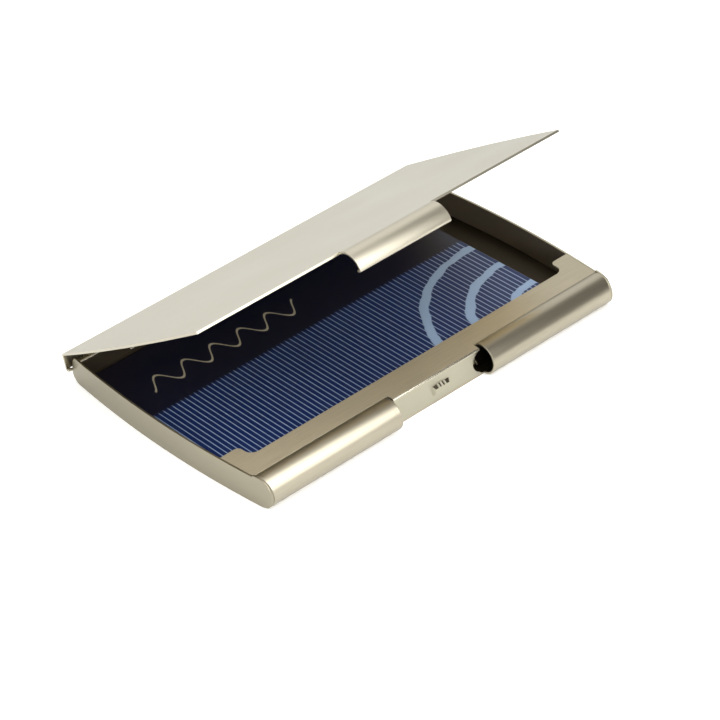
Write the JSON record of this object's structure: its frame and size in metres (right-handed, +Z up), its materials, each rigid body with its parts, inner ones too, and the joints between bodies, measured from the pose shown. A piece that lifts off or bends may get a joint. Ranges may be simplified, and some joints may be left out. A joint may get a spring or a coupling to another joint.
{
  "type": "business card case",
  "caption": "Flat pocket case of brushed sheet steel with bowed ends, a sprung hinged lid with a curved latch lip, a rolled front edge and cards inside.",
  "frame": {"origin": "middle of the flat bottom face, at the height that the case stands on", "axes": "+X along the hinge and the long side, +Y from the latch lip towards the hinge, +Z up"},
  "size_m": [0.0978, 0.0664, 0.0377],
  "materials": {
    "case_steel": "brushed along the case",
    "plate_steel": "satin",
    "ledge_steel": "brushed along the case",
    "bracket_steel": "plain rolled",
    "pin_steel": "drawn rod",
    "spring_wire": "drawn spring wire",
    "lid_steel": "fine satin",
    "leaf_steel": "plain rolled",
    "printed_card": "gloss laminated print on card",
    "plain_card": "uncoated white card"
  },
  "bodies": {
    "case": {"base_shell": "case_steel", "left_end_plate": "plate_steel", "right_end_plate": "plate_steel", "front_ledge": "ledge_steel", "rear_bracket": "bracket_steel", "hinge_pin": "pin_steel", "left_spring": "spring_wire", "right_spring": "spring_wire", "top_card": "printed_card", "second_card": "plain_card", "third_card": "plain_card", "bottom_card": "plain_card"},
    "lid": {"lid": "lid_steel", "lid_hinge_leaf": "leaf_steel"}
  },
  "joints": [
    {"name": "lid_hinge", "type": "hinge", "parent": "case", "child": "lid", "pos_m": [0, 0.0313, 0.0041], "axis": [1, 0, 0], "range_deg": [0, 30], "stiffness_Nm_per_rad": 0.01, "springref_deg": -57.3, "deforming": ["left_spring", "right_spring"]}
  ]
}
